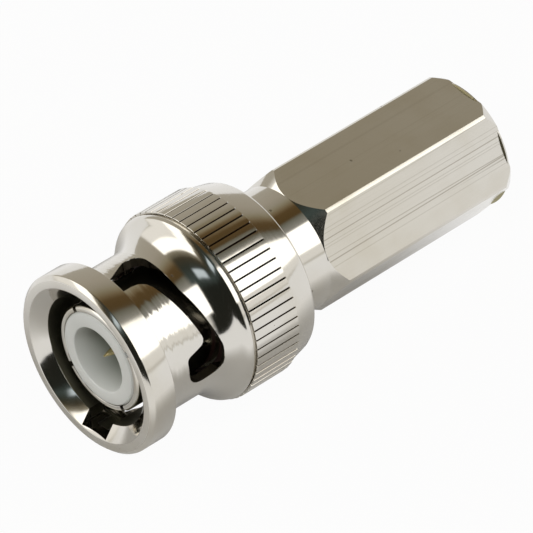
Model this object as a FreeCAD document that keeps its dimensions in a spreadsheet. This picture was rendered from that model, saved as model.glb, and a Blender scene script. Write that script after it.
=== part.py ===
import FreeCAD, Part
import Sketcher
import math
import os
import re

# Twist-on bayonet plug for coaxial cable, nickel plated, lying on its side.
# Each piece is drawn along its own Z axis, which starts at the mouth face and ends at the cable end.
# All sizes are millimetres, all angles degrees.

# Driving sizes

NUT = {
    "mating_gap": 0.9,
    "barrel_wall": 0.65,
    "barrel_length": 4.1,
    "flange_height": 1.25,
    "flange_length": 2.2,
    "flange_bevel": 0.2,
    "mouth_bevel": 1.0,
    "mouth_depth": 0.85,
    "cove_length": 2.2,
    "cove_rise": 1.21,
    "bead_length": 0.6,
    "bead_rise": 0.29,
    "relief_length": 0.15,
    "relief_depth": 0.15,
    "knurl_step": 0.15,
    "knurl_length": 3.85,
    "knurl_count": 60,
    "knurl_depth": 0.26,
    "knurl_width": 0.28,
    "skirt_step": 0.12,
    "skirt_length": 2.1,
    "skirt_taper": 0.48,
    "skirt_bevel": 0.25,
    "lip_length": 1.2,
}

CAM = {
    "cam_count": 2,
    "cam_phase": -8.8,
    "entry_width": 2.5,
    "entry_depth": 0.8,
    "entry_end": 4.98,
    "ramp_start": 4.18,
    "ramp_lead": 10.15,
    "ramp_window": 0.9,
    "ramp_turn": 78.0,
    "stud_width": 2.2,
    "stud_height": 0.6,
    "shelf_end": 6.3,
    "shelf_turn": 30.0,
    "slope_end": 7.42,
    "slope_turn": 57.0,
    "slope_window": 1.0,
    "turnback_angle": 88.5,
    "turnback_centre": 6.2,
    "lock_angle": 92.3,
    "lock_centre": 5.75,
}

BODY = {
    "spring_width": 0.8,
    "spigot_wall": 0.6,
    "neck_length": 4.5,
    "hex_across_flats": 9.6,
    "hex_length": 17.2,
    "hex_corner_break": 0.055,
    "hex_front_bevel": 1.2,
    "hex_rear_bevel": 0.75,
    "hex_rear_drop": 0.39,
    "dielectric_bore": 4.0,
    "cable_bore": 6.1,
    "cable_bore_depth": 15.4,
    "cable_mouth_bevel": 0.4,
}

CONTACTS = {
    "contact_diameter": 8.1,
    "contact_setback": 1.15,
    "contact_length": 7.85,
    "contact_wall": 0.45,
    "contact_tip_bevel": 0.15,
    "contact_flange_length": 1.2,
    "contact_step": 0.6,
    "contact_tail_length": 3.0,
    "contact_tail_wall": 0.55,
    "contact_slot_count": 4,
    "contact_slot_width": 0.4,
    "contact_slot_length": 5.5,
    "contact_slot_phase": 48.0,
    "insulator_setback": 1.07,
    "insulator_bevel": 0.25,
    "insulator_bore": 4.9,
    "insulator_bore_depth": 6.9,
    "insulator_shelf": 2.0,
    "bead_insulator_length": 1.8,
    "pin_setback": 1.5,
    "pin_diameter": 1.35,
    "pin_nose_length": 2.3,
    "pin_tip_diameter": 0.14,
    "pin_root_step": 0.2,
    "pin_collar_step": 0.2,
    "pin_tail_diameter": 1.6,
    "pin_tail_length": 3.8,
    "pin_socket_diameter": 0.9,
    "pin_socket_depth": 3.5,
    "pin_slot_width": 0.25,
    "pin_slot_length": 2.5,
}

SPRINGS = {
    "gasket_length": 0.6,
    "gasket_seat_step": 0.2,
    "gasket_wall": 0.45,
    "wave_height": 1.0,
    "wave_thickness": 0.2,
    "wave_count": 3,
    "slip_thickness": 0.2,
}

CLEARANCES = {
    "running_clearance": 0.08,
    "seat_clearance": 0.02,
    "washer_clearance": 0.12,
    "washer_play": 0.1,
    "shoulder_gap": 0.1,
}

SIZES = {**NUT, **CAM, **BODY, **CONTACTS, **SPRINGS, **CLEARANCES}

doc = FreeCAD.newDocument("bayonet_plug")
sheet = doc.addObject("Spreadsheet::Sheet", "Sizes")
for row, (alias, number) in enumerate(SIZES.items(), start=1):
    sheet.set(f"A{row}", alias)
    sheet.set(f"B{row}", str(number))
    sheet.setAlias(f"B{row}", alias)
doc.recompute()

# Stations along the axis, each built up from the sizes before it

COVE_START = "(flange_length + barrel_length)"
BEAD_START = f"({COVE_START} + cove_length)"
RELIEF_START = f"({BEAD_START} + bead_length)"
KNURL_START = f"({RELIEF_START} + relief_length)"
KNURL_END = f"({KNURL_START} + knurl_length)"
NUT_END = f"({KNURL_END} + skirt_length)"
CONTACT_BASE = "(contact_setback + contact_length)"
GASKET_START = f"({CONTACT_BASE} - gasket_length)"
SPIGOT_START = f"({CONTACT_BASE} + contact_flange_length)"
SLIP_START = f"({SPIGOT_START} + 2 * wave_height + 0.8 * washer_play)"
LIP_START = f"({SPIGOT_START} + 2 * wave_height + slip_thickness + washer_play)"
LIP_END = f"({LIP_START} + lip_length)"
NECK_START = f"({LIP_END} + shoulder_gap)"
HEX_START = f"({NECK_START} + neck_length)"
BODY_END = f"({HEX_START} + hex_length)"
STEP_END = f"({CONTACT_BASE} + contact_step)"
TAIL_END = f"({SPIGOT_START} + contact_tail_length)"
BEAD_INSULATOR_END = f"({TAIL_END} + bead_insulator_length)"
INSULATOR_FLOOR = "(insulator_setback + insulator_bore_depth)"
COLLAR_START = f"({INSULATOR_FLOOR} + insulator_shelf)"
PIN_END = f"({TAIL_END} + pin_tail_length)"
CABLE_STOP = f"({BODY_END} - cable_bore_depth)"

# Radii shared by pieces that fit each other

CONTACT = "(contact_diameter / 2)"
BORE = f"({CONTACT} + mating_gap)"
BARREL = f"({BORE} + barrel_wall)"
FLANGE = f"({BARREL} + flange_height)"
COVE_TOP = f"({BARREL} + cove_rise)"
BEAD = f"({COVE_TOP} + bead_rise)"
KNURL = f"({BEAD} + knurl_step)"
SKIRT_END = f"({KNURL} - skirt_step - skirt_taper)"
NECK = "(hex_across_flats / 2)"
SKIRT_BORE = f"({NECK} + running_clearance)"
SPIGOT = f"({BORE} - spring_width)"
LIP_BORE = f"({SPIGOT} + running_clearance)"
WASHER_INNER = f"({SPIGOT} + washer_clearance)"
WASHER_OUTER = f"({BORE} - washer_clearance)"
SPIGOT_BORE = f"({SPIGOT} - spigot_wall)"
CONTACT_BORE = f"({CONTACT} - contact_wall)"
TAIL = f"({SPIGOT_BORE} - seat_clearance)"
TAIL_BORE = f"({TAIL} - contact_tail_wall)"
GASKET_SEAT = f"({CONTACT} + gasket_seat_step)"
PIN_ROOT = "(pin_diameter / 2 + pin_root_step)"
PIN_COLLAR = f"({PIN_ROOT} + pin_collar_step)"
HEX_CORNER = "(hex_across_flats / sqrt(3))"


def cove_point(share):
    """A corner of the faceted cove, which starts along the axis, at this share of its length."""
    radius = "((cove_length ^ 2 + cove_rise ^ 2) / (2 * cove_rise))"
    rise = f"{radius} - sqrt({radius} ^ 2 - (cove_length * {share}) ^ 2)"
    return f"{BARREL} + {rise}", f"{COVE_START} + cove_length * {share}"


def bound(formula):
    """The formula with each size name pointing at its cell."""
    return re.sub(r"[a-z_]{3,}", lambda m: f"Sizes.{m[0]}" if m[0] in SIZES else m[0], str(formula))


def value(formula):
    """The number that a formula gives now."""
    return float(sheet.evalExpression(bound(formula)))


def new_body(label):
    body = doc.addObject("PartDesign::Body", label)
    body.Label = label
    return body


def origin_feature(body, role):
    return next(f for f in body.Origin.OriginFeatures if f.Role == role)


def add_sketch(body, name, plane, turn=None):
    """An empty sketch on one of the body's own planes, turned about the body's axis."""
    sketch = body.newObject("Sketcher::SketchObject", name)
    sketch.AttachmentSupport = [(origin_feature(body, plane), "")]
    sketch.MapMode = "FlatFace"
    if turn is not None:
        upright = FreeCAD.Rotation(FreeCAD.Vector(0, 1, 0), value(turn))
        sketch.AttachmentOffset = FreeCAD.Placement(FreeCAD.Vector(), upright)
        sketch.setExpression("AttachmentOffset.Rotation.Angle", bound(turn))
    return sketch


def draw_outline(sketch, corners):
    """A closed outline whose corners are bound to the sizes."""
    points = [FreeCAD.Vector(value(across), value(up), 0) for across, up in corners]
    for start, end in zip(points, points[1:] + points[:1]):
        sketch.addGeometry(Part.LineSegment(start, end), False)
    for i, corner in enumerate(corners):
        after = (i + 1) % len(corners)
        sketch.addConstraint(Sketcher.Constraint("Coincident", i, 2, after, 1))
        for kind, formula in zip(("DistanceX", "DistanceY"), corner):
            rule = Sketcher.Constraint(kind, -1, 1, i, 1, value(formula))
            sketch.setExpression(f"Constraints[{sketch.addConstraint(rule)}]", bound(formula))
    return sketch


def rectangle(left, bottom, right, top):
    return [(left, bottom), (right, bottom), (right, top), (left, top)]


def turned(body, name, corners, kind="Revolution", angle="360"):
    """A revolved outline: first coordinate the radius, second the station along the axis."""
    sketch = draw_outline(add_sketch(body, name + "_outline", "XZ_Plane"), corners)
    feature = body.newObject(f"PartDesign::{kind}", name)
    feature.Profile = sketch
    feature.ReferenceAxis = (sketch, ["V_Axis"])
    feature.setExpression("Angle", bound(angle))
    sketch.Visibility = False
    return feature


def pocket(body, name, sketch, depth):
    """A pocket cut along the sketch's own normal."""
    feature = body.newObject("PartDesign::Pocket", name)
    feature.Profile = sketch
    feature.Reversed = True
    feature.setExpression("Length", bound(depth))
    return feature


def radial_hole(body, name, angle, station, diameter, depth=KNURL):
    """A round hole from the axis outward at one angle and station."""
    sketch = add_sketch(body, name + "_outline", "YZ_Plane", angle)
    centre = FreeCAD.Vector(0, value(station), 0)
    circle = Part.Circle(centre, FreeCAD.Vector(0, 0, 1), value(diameter) / 2)
    sketch.addGeometry(circle, False)
    sketch.addConstraint(Sketcher.Constraint("PointOnObject", 0, 3, -2))
    lift = Sketcher.Constraint("DistanceY", -1, 1, 0, 3, value(station))
    sketch.setExpression(f"Constraints[{sketch.addConstraint(lift)}]", bound(station))
    width = sketch.addConstraint(Sketcher.Constraint("Diameter", 0, value(diameter)))
    sketch.setExpression(f"Constraints[{width}]", bound(diameter))
    return pocket(body, name, sketch, depth)


def helical_cut(body, name, start, turn, lead, low, high, radius):
    """A cut of constant width that climbs round the axis from the angle start."""
    sketch = add_sketch(body, name + "_outline", "XZ_Plane", start)
    draw_outline(sketch, rectangle(f"{BORE} - running_clearance", low, radius, high))
    feature = body.newObject("PartDesign::SubtractiveHelix", name)
    feature.Profile = sketch
    feature.ReferenceAxis = (sketch, ["V_Axis"])
    feature.Mode = "pitch-turns-angle"
    feature.setExpression("Pitch", bound(lead))
    feature.setExpression("Turns", bound(f"({turn}) / 360"))
    return feature


def around(body, name, originals, count):
    """Copies spread evenly round the body's axis."""
    pattern = body.newObject("PartDesign::PolarPattern", name)
    pattern.Originals = originals
    pattern.Axis = (origin_feature(body, "Z_Axis"), [""])
    pattern.Angle = 360
    pattern.setExpression("Occurrences", bound(count))
    body.Tip = pattern
    return pattern


# Coupling nut

def coupling_nut():
    nut = new_body("coupling_nut")
    turned(nut, "nut_blank", [
        (f"{BORE} + mouth_bevel", "0"),
        (f"{FLANGE} - flange_bevel", "0"),
        (FLANGE, "flange_bevel"),
        (FLANGE, "flange_length"),
        (BARREL, "flange_length"),
        (BARREL, COVE_START),
        cove_point(0.3),
        cove_point(0.57),
        cove_point(0.81),
        (COVE_TOP, BEAD_START),
        (BEAD, f"{BEAD_START} + bead_rise"),
        (BEAD, RELIEF_START),
        (f"{BEAD} - relief_depth", RELIEF_START),
        (f"{BEAD} - relief_depth", KNURL_START),
        (KNURL, KNURL_START),
        (KNURL, KNURL_END),
        (f"{KNURL} - skirt_step", KNURL_END),
        (SKIRT_END, f"{NUT_END} - skirt_bevel"),
        (f"{SKIRT_END} - skirt_bevel", NUT_END),
        (SKIRT_BORE, NUT_END),
        (SKIRT_BORE, LIP_END),
        (LIP_BORE, LIP_END),
        (LIP_BORE, LIP_START),
        (BORE, LIP_START),
        (BORE, "mouth_depth"),
    ])

    groove = add_sketch(nut, "knurl_groove_outline", "XY_Plane")
    draw_outline(groove, [
        (f"{KNURL} - knurl_depth", "0"),
        (f"{KNURL} + knurl_depth", "-knurl_width"),
        (f"{KNURL} + knurl_depth", "knurl_width"),
    ])
    groove.setExpression("AttachmentOffset.Base.z", bound(KNURL_START))
    cut = pocket(nut, "knurl_groove", groove, "knurl_length")
    around(nut, "knurl", [cut], "knurl_count")

    entry = add_sketch(nut, "entry_groove_outline", "XY_Plane")
    draw_outline(entry, rectangle("0", "-entry_width / 2", f"{BORE} + entry_depth", "entry_width / 2"))
    slope_start = "shelf_end"
    slope_lead = "((slope_end - shelf_end) * 360 / slope_turn)"
    path_end = "(ramp_start + ramp_lead * lock_angle / 360 + stud_width / 2)"
    stud_floor = f"({BORE} + stud_height)"
    cam = [
        pocket(nut, "entry_groove", entry, "entry_end"),
        radial_hole(nut, "entry_end_round", "0", "entry_end", "entry_width"),
        helical_cut(nut, "ramp_window", "0", "ramp_turn", "ramp_lead",
                    "ramp_start", "ramp_start + ramp_window", COVE_TOP),
        helical_cut(nut, "stud_path", "0", "lock_angle", "ramp_lead",
                    "ramp_start", "ramp_start + stud_width", stud_floor),
        radial_hole(nut, "stud_path_end", "lock_angle", path_end, "entry_width", stud_floor),
        turned(nut, "shelf_window",
               rectangle(f"{BORE} - running_clearance", "entry_end", COVE_TOP, "shelf_end"),
               "Groove", "shelf_turn"),
        helical_cut(nut, "slope_window", "shelf_turn", "slope_turn", slope_lead,
                    f"{slope_start} - slope_window", slope_start, COVE_TOP),
        radial_hole(nut, "turnback_hole", "turnback_angle", "turnback_centre", "entry_width"),
        radial_hole(nut, "lock_hole", "lock_angle", "lock_centre", "entry_width"),
    ]
    around(nut, "cam_slots", cam, "cam_count")
    return nut


# Body of hexagon bar

def hex_body():
    body = new_body("hex_body")
    turned(body, "neck_and_spigot", [
        ("0", SPIGOT_START),
        (SPIGOT, SPIGOT_START),
        (SPIGOT, NECK_START),
        (NECK, NECK_START),
        (NECK, HEX_START),
        ("0", HEX_START),
    ])
    bar = add_sketch(body, "bar_outline", "XY_Plane")
    draw_outline(bar, [(f"{HEX_CORNER} * cos({angle})", f"{HEX_CORNER} * sin({angle})")
                       for angle in range(30, 390, 60)])
    bar.setExpression("AttachmentOffset.Base.z", bound(HEX_START))
    pad = body.newObject("PartDesign::Pad", "bar")
    pad.Profile = bar
    pad.setExpression("Length", bound("hex_length"))
    turned(body, "bar_bevels", [
        (NECK, HEX_START),
        ("hex_across_flats", HEX_START),
        ("hex_across_flats", BODY_END),
        (f"{HEX_CORNER} - hex_corner_break - hex_rear_drop", BODY_END),
        (f"{HEX_CORNER} - hex_corner_break", f"{BODY_END} - hex_rear_bevel"),
        (f"{HEX_CORNER} - hex_corner_break", f"{HEX_START} + hex_front_bevel"),
    ], "Groove")
    turned(body, "bores", [
        ("0", SPIGOT_START),
        (SPIGOT_BORE, SPIGOT_START),
        (SPIGOT_BORE, BEAD_INSULATOR_END),
        ("dielectric_bore / 2", BEAD_INSULATOR_END),
        ("dielectric_bore / 2", CABLE_STOP),
        ("cable_bore / 2", CABLE_STOP),
        ("cable_bore / 2", f"{BODY_END} - cable_mouth_bevel"),
        ("cable_bore / 2 + cable_mouth_bevel", BODY_END),
        ("0", BODY_END),
    ], "Groove")
    return body


# Outer contact with its spring fingers

def outer_contact():
    contact = new_body("outer_contact")
    turned(contact, "sleeve", [
        (CONTACT_BORE, "contact_setback"),
        (f"{CONTACT} - contact_tip_bevel", "contact_setback"),
        (CONTACT, "contact_setback + contact_tip_bevel"),
        (CONTACT, GASKET_START),
        (GASKET_SEAT, GASKET_START),
        (GASKET_SEAT, CONTACT_BASE),
        (f"{BORE} - running_clearance", CONTACT_BASE),
        (f"{BORE} - running_clearance", SPIGOT_START),
        (TAIL, SPIGOT_START),
        (TAIL, TAIL_END),
        (TAIL_BORE, TAIL_END),
        (TAIL_BORE, STEP_END),
        (CONTACT_BORE, STEP_END),
    ])
    slit = add_sketch(contact, "slit_outline", "YZ_Plane", "contact_slot_phase")
    draw_outline(slit, rectangle("-contact_slot_width / 2", "0", "contact_slot_width / 2",
                                 "contact_setback + contact_slot_length"))
    cut = pocket(contact, "slit", slit, "contact_diameter")
    around(contact, "slits", [cut], "contact_slot_count")
    return contact


# Plastic insulators

def front_insulator():
    insulator = new_body("front_insulator")
    outer = f"({CONTACT_BORE} - seat_clearance)"
    turned(insulator, "tube", [
        ("insulator_bore / 2", "insulator_setback"),
        (f"{outer} - insulator_bevel", "insulator_setback"),
        (outer, "insulator_setback + insulator_bevel"),
        (outer, STEP_END),
        (f"{TAIL_BORE} - seat_clearance", STEP_END),
        (f"{TAIL_BORE} - seat_clearance", TAIL_END),
        (f"{PIN_COLLAR} + seat_clearance", TAIL_END),
        (f"{PIN_COLLAR} + seat_clearance", COLLAR_START),
        (f"{PIN_ROOT} + seat_clearance", COLLAR_START),
        (f"{PIN_ROOT} + seat_clearance", INSULATOR_FLOOR),
        ("insulator_bore / 2", INSULATOR_FLOOR),
    ])
    return insulator


def rear_insulator():
    insulator = new_body("rear_insulator")
    pin_hole = "pin_tail_diameter / 2 + seat_clearance"
    turned(insulator, "ring", rectangle(pin_hole, TAIL_END, TAIL, BEAD_INSULATOR_END))
    return insulator


# Centre pin

def centre_pin():
    pin = new_body("centre_pin")
    turned(pin, "rod", [
        ("0", "pin_setback"),
        ("pin_tip_diameter / 2", "pin_setback"),
        ("pin_diameter / 2", "pin_setback + pin_nose_length"),
        ("pin_diameter / 2", INSULATOR_FLOOR),
        (PIN_ROOT, INSULATOR_FLOOR),
        (PIN_ROOT, COLLAR_START),
        (PIN_COLLAR, COLLAR_START),
        (PIN_COLLAR, TAIL_END),
        ("pin_tail_diameter / 2", TAIL_END),
        ("pin_tail_diameter / 2", PIN_END),
        ("pin_socket_diameter / 2", PIN_END),
        ("pin_socket_diameter / 2", f"{PIN_END} - pin_socket_depth"),
        ("0", f"{PIN_END} - pin_socket_depth"),
    ])
    slit = add_sketch(pin, "socket_slit_outline", "YZ_Plane")
    draw_outline(slit, rectangle("-pin_slot_width / 2", f"{PIN_END} - pin_slot_length",
                                 "pin_slot_width / 2", PIN_END))
    cut = pocket(pin, "socket_slit", slit, "pin_tail_diameter")
    around(pin, "socket_slits", [cut], "2")
    return pin


# Rubber ring at the root of the outer contact

def gasket():
    ring = new_body("gasket")
    inner = f"{GASKET_SEAT} + seat_clearance"
    turned(ring, "ring", rectangle(inner, GASKET_START, f"{inner} + gasket_wall", CONTACT_BASE))
    return ring


# Washers between the outer contact's flange and the nut's lip

def slip_washer():
    washer = new_body("slip_washer")
    turned(washer, "disc", rectangle(WASHER_INNER, SLIP_START, WASHER_OUTER,
                                     f"{SLIP_START} + slip_thickness"))
    return washer


def wave_edge(radius, middle, swing):
    """A closed curve round the axis that rises and falls once for each wave."""
    steps = 12 * int(value("wave_count"))
    points = []
    for k in range(steps):
        angle = 2 * math.pi * k / steps
        height = middle + swing * math.cos(value("wave_count") * angle)
        points.append(FreeCAD.Vector(radius * math.cos(angle), radius * math.sin(angle), height))
    curve = Part.BSplineCurve()
    curve.interpolate(points, PeriodicFlag=True)
    return curve.toShape()


def wave_washer(label, order):
    """A spring ring bent into waves, one of two that stand crest to crest."""
    swing = (value("wave_height") - value("wave_thickness")) / 2
    gap = value("washer_play") / 4
    bottom = value(SPIGOT_START) + gap + order * (value("wave_height") + gap)
    strip = Part.makeRuledSurface(
        wave_edge(value(WASHER_INNER) - gap, bottom + swing, swing),
        wave_edge(value(WASHER_OUTER) + gap, bottom + swing, swing),
    ).extrude(FreeCAD.Vector(0, 0, value("wave_thickness")))
    foot = FreeCAD.Vector(0, 0, bottom - gap)
    tall = value("wave_height") + 2 * gap
    ring = Part.makeCylinder(value(WASHER_OUTER), tall, foot)
    ring = ring.cut(Part.makeCylinder(value(WASHER_INNER), tall, foot))
    washer = doc.addObject("Part::Feature", label)
    washer.Label = label
    washer.Shape = strip.common(ring)
    return washer


# The pieces with the angle by which each is turned about the axis

crest = 180 / value("wave_count")
pieces = [
    (coupling_nut(), "cam_phase"),
    (hex_body(), "0"),
    (outer_contact(), "0"),
    (front_insulator(), "0"),
    (rear_insulator(), "0"),
    (centre_pin(), "0"),
    (gasket(), "0"),
    (wave_washer("wave_washer_front", 0), "0"),
    (wave_washer("wave_washer_rear", 1), crest),
    (slip_washer(), "0"),
]

# The axis lies along X with the mouth toward -X and a flat of the bar facing up

lying = FreeCAD.Rotation(FreeCAD.Vector(0, 0, 1), FreeCAD.Vector(0, -1, 0), FreeCAD.Vector(1, 0, 0), "ZXY")
middle = FreeCAD.Vector(-value(BODY_END) / 2, 0, value(KNURL))
for piece, phase in pieces:
    own_turn = FreeCAD.Rotation(FreeCAD.Vector(0, 0, 1), value(phase))
    piece.Placement = FreeCAD.Placement(middle, lying * own_turn)
doc.recompute()

for item in doc.Objects:
    if "Invalid" in item.State or "Error" in item.State:
        raise RuntimeError(f"{item.Name} did not build: {item.State}")
for piece, phase in pieces:
    if piece.Shape.isNull() or not piece.Shape.isValid() or len(piece.Shape.Solids) != 1:
        raise RuntimeError(f"{piece.Label} is not one sound solid")

os.makedirs("parts", exist_ok=True)
for piece, phase in pieces:
    piece.Shape.exportStep(f"parts/{piece.Label}.step")
    box = piece.Shape.BoundBox
    print(f"{piece.Label}: {piece.Shape.Volume:.2f} mm3, x {box.XMin:.2f}..{box.XMax:.2f}, "
          f"z {box.ZMin:.2f}..{box.ZMax:.2f}")
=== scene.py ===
# Twist-on coaxial plug of plated brass, lying on its side on a white table
import bpy
import math
from mathutils import Matrix, Vector


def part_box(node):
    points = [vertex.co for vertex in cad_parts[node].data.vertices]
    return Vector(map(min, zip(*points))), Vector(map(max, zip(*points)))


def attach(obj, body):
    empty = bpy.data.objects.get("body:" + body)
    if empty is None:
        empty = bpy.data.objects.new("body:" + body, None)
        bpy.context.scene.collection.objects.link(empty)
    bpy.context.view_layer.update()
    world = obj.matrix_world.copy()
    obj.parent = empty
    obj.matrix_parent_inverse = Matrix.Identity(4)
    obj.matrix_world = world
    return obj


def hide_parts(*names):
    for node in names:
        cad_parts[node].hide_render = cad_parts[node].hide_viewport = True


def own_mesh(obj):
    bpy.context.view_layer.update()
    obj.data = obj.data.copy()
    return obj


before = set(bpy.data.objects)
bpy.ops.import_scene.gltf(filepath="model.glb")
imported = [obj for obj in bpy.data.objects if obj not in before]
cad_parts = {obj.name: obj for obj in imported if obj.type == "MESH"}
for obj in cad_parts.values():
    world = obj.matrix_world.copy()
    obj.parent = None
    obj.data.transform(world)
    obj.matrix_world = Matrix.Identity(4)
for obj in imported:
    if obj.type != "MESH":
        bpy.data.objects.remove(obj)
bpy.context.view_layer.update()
mm = 0.001
tiny = 0.0005 * mm  # points nearer to each other than this are one point
nutLow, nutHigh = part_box("coupling_nut")
mouthX = nutLow.x  # the front face of the nut
axisZ = (nutLow.z + nutHigh.z) / 2
axisPoint = (0, 0, axisZ)
roundSteps = 360  # columns of points round the nut and the body
contactSteps, pinSteps, drillSides, cornerSegments = 180, 64, 32, 3
softAngle = 28  # degrees between two faces that still shade as one


# Modelling steps shared by the turned pieces

def clearSelection():
    bpy.ops.object.select_all(action="DESELECT")
    bpy.context.view_layer.objects.active = None


def pick(piece):
    clearSelection()
    piece.select_set(True)
    bpy.context.view_layer.objects.active = piece


def placed(station, radius, angle=0.0):
    # station is mm behind the mouth face, angle is degrees from the top towards the viewer
    turn = math.radians(angle)
    side, height = -radius * mm * math.sin(turn), radius * mm * math.cos(turn)
    return Vector((mouthX + station * mm, side, axisZ + height))


def stationOf(point):
    return (point.x - mouthX) / mm


def radiusOf(point):
    return math.hypot(point.y, point.z - axisZ) / mm


def angleOf(point):
    return math.degrees(math.atan2(-point.y, point.z - axisZ))


def choose(piece, test):
    # selects the points whose place passes the test, and leaves the piece in edit mode
    bpy.ops.object.mode_set(mode="OBJECT")
    for part in (piece.data.polygons, piece.data.edges):
        part.foreach_set("select", [False] * len(part))
    for vertex in piece.data.vertices:
        vertex.select = test(vertex.co)
    bpy.ops.object.mode_set(mode="EDIT")
    bpy.ops.mesh.select_mode(type="VERT")


def faceOutwards():
    bpy.ops.mesh.select_all(action="SELECT")
    bpy.ops.mesh.normals_make_consistent(inside=False)
    bpy.ops.object.mode_set(mode="OBJECT")


def loop(name, points):
    # a closed line, drawn by extruding one point from place to place
    clearSelection()
    bpy.ops.mesh.primitive_plane_add(size=mm, location=points[0])
    piece = bpy.context.active_object
    piece.name = piece.data.name = name
    bpy.ops.object.transform_apply()
    bpy.ops.object.mode_set(mode="EDIT")
    bpy.ops.mesh.select_mode(type="VERT")
    bpy.ops.mesh.select_all(action="SELECT")
    bpy.ops.mesh.merge(type="CENTER")
    for start, end in zip(points, points[1:]):
        bpy.ops.mesh.extrude_region_move(TRANSFORM_OT_translate={"value": end - start})
    choose(piece, lambda place: min((place - points[0]).length, (place - points[-1]).length) < tiny)
    bpy.ops.mesh.edge_face_add()
    return piece


def roundCorners(piece, profile):
    # a profile row is station, radius and, where the corner is rounded, its rounding, all in mm
    for rounding in sorted({row[2] for row in profile if len(row) > 2}):
        corners = [placed(row[0], row[1]) for row in profile if len(row) > 2 and row[2] == rounding]
        choose(piece, lambda place: any((place - corner).length < tiny for corner in corners))
        bpy.ops.mesh.bevel(offset=rounding * mm, segments=cornerSegments, affect="VERTICES",
                           clamp_overlap=True)


def turned(name, profile, steps):
    # a profile spun round the axis; one that starts and ends on the axis is closed there
    piece = loop(name, [placed(row[0], row[1]) for row in profile])
    roundCorners(piece, profile)
    bpy.ops.mesh.select_all(action="SELECT")
    bpy.ops.mesh.spin(steps=steps, angle=2 * math.pi, center=axisPoint, axis=(1, 0, 0), use_auto_merge=True)
    bpy.ops.mesh.select_all(action="SELECT")
    bpy.ops.mesh.remove_doubles(threshold=tiny)
    bpy.ops.mesh.delete_loose(use_verts=True, use_edges=True, use_faces=False)
    faceOutwards()
    return piece


def cut(piece, cutter, operation="DIFFERENCE"):
    pick(piece)
    bpy.ops.object.modifier_add(type="BOOLEAN")
    step = piece.modifiers[-1]
    step.operation, step.solver, step.object = operation, "EXACT", cutter
    bpy.ops.object.modifier_apply(modifier=step.name)
    bpy.data.objects.remove(cutter)


def closeHoles(piece):
    bpy.ops.object.mode_set(mode="EDIT")
    bpy.ops.mesh.select_mode(type="EDGE")
    bpy.ops.mesh.select_all(action="DESELECT")
    bpy.ops.mesh.select_non_manifold(extend=False)
    bpy.ops.mesh.edge_face_add()
    faceOutwards()


def turnSelected(angle):
    # transform.rotate turns the other way when Blender has no window
    bpy.ops.transform.rotate(value=-math.radians(angle), orient_axis="X", center_override=axisPoint)


def turnAboutAxis(piece, angle):
    pick(piece)
    turnSelected(angle)
    bpy.ops.object.transform_apply()


def copies(piece, count):
    # the piece and its copies, spread evenly round the axis, as one object
    pick(piece)
    made = [piece]
    for k in range(1, count):
        other = piece.copy()
        other.data = piece.data.copy()
        bpy.context.collection.objects.link(other)
        turnAboutAxis(other, 360 * k / count)
        made.append(other)
    pick(piece)
    for other in made:
        other.select_set(True)
    bpy.ops.object.join()
    return piece


def radialDrill(name, angle, station, diameter, reach):
    clearSelection()
    bpy.ops.mesh.primitive_cylinder_add(vertices=drillSides, radius=diameter / 2 * mm, depth=reach * mm,
                                        location=(mouthX + station * mm, 0, axisZ + reach / 2 * mm))
    drill = bpy.context.active_object
    drill.name = name
    bpy.ops.object.transform_apply()
    turnAboutAxis(drill, angle)
    return drill


def block(name, low, high):
    # a square cutter between two corners given as station, side and height above the axis, in mm
    clearSelection()
    centre = [(a + b) / 2 * mm for a, b in zip(low, high)]
    bpy.ops.mesh.primitive_cube_add(size=1, location=(mouthX + centre[0], centre[1], axisZ + centre[2]))
    piece = bpy.context.active_object
    piece.name = name
    piece.scale = [(b - a) * mm for a, b in zip(low, high)]
    bpy.ops.object.transform_apply()
    return piece


def finish(piece, body, material, replaced, sharp=softAngle):
    pick(piece)
    bpy.ops.object.shade_smooth_by_angle(angle=math.radians(sharp))
    piece.data.materials.clear()
    piece.data.materials.append(material)
    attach(piece, body)
    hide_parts(replaced)
    print("made", piece.name, len(piece.data.polygons), "faces")


# Steps shared by the materials

def addNode(tree, kind, **values):
    node = tree.nodes.new(kind)
    for name, value in values.items():
        setattr(node, name, value)
    return node


def feed(tree, socket, value):
    # a number or a colour is set on the socket, and what another node puts out is linked to it
    if isinstance(value, (int, float)):
        socket.default_value = value
    elif isinstance(value, tuple):
        socket.default_value = (*value, 1)
    else:
        tree.links.new(value, socket)


def mathNode(tree, operation, *values):
    node = addNode(tree, "ShaderNodeMath", operation=operation)
    for socket, value in zip(node.inputs, values):
        feed(tree, socket, value)
    return node.outputs[0]


def times(tree, first, *others):
    for other in others:
        first = mathNode(tree, "MULTIPLY", first, other)
    return first


def minus(tree, first, second):
    return mathNode(tree, "SUBTRACT", first, second)


def added(tree, value, share, base):
    # share of the value on top of base
    return mathNode(tree, "MULTIPLY_ADD", value, share, base)


def largest(tree, first, second):
    return mathNode(tree, "MAXIMUM", first, second)


def absolute(tree, value):
    return mathNode(tree, "ABSOLUTE", value)


def vectorNode(tree, operation, *values):
    node = addNode(tree, "ShaderNodeVectorMath", operation=operation)
    for socket, value in zip(node.inputs, values):
        if isinstance(value, tuple):
            socket.default_value = value
        else:
            tree.links.new(value, socket)
    return node


def smoothRange(tree, value, low, high):
    # 0 below low, 1 above high, and the other way round when low is the larger
    node = addNode(tree, "ShaderNodeMapRange", interpolation_type="SMOOTHSTEP")
    tree.links.new(value, node.inputs["Value"])
    starts, ends = (0, 1) if low < high else (1, 0)
    for label, number in (("From Min", min(low, high)), ("From Max", max(low, high)),
                          ("To Min", starts), ("To Max", ends)):
        node.inputs[label].default_value = number
    return node.outputs["Result"]


def band(tree, value, low, high, soft):
    rise = smoothRange(tree, value, low - soft / 2, low + soft / 2)
    fall = smoothRange(tree, value, high + soft / 2, high - soft / 2)
    return times(tree, rise, fall)


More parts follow.
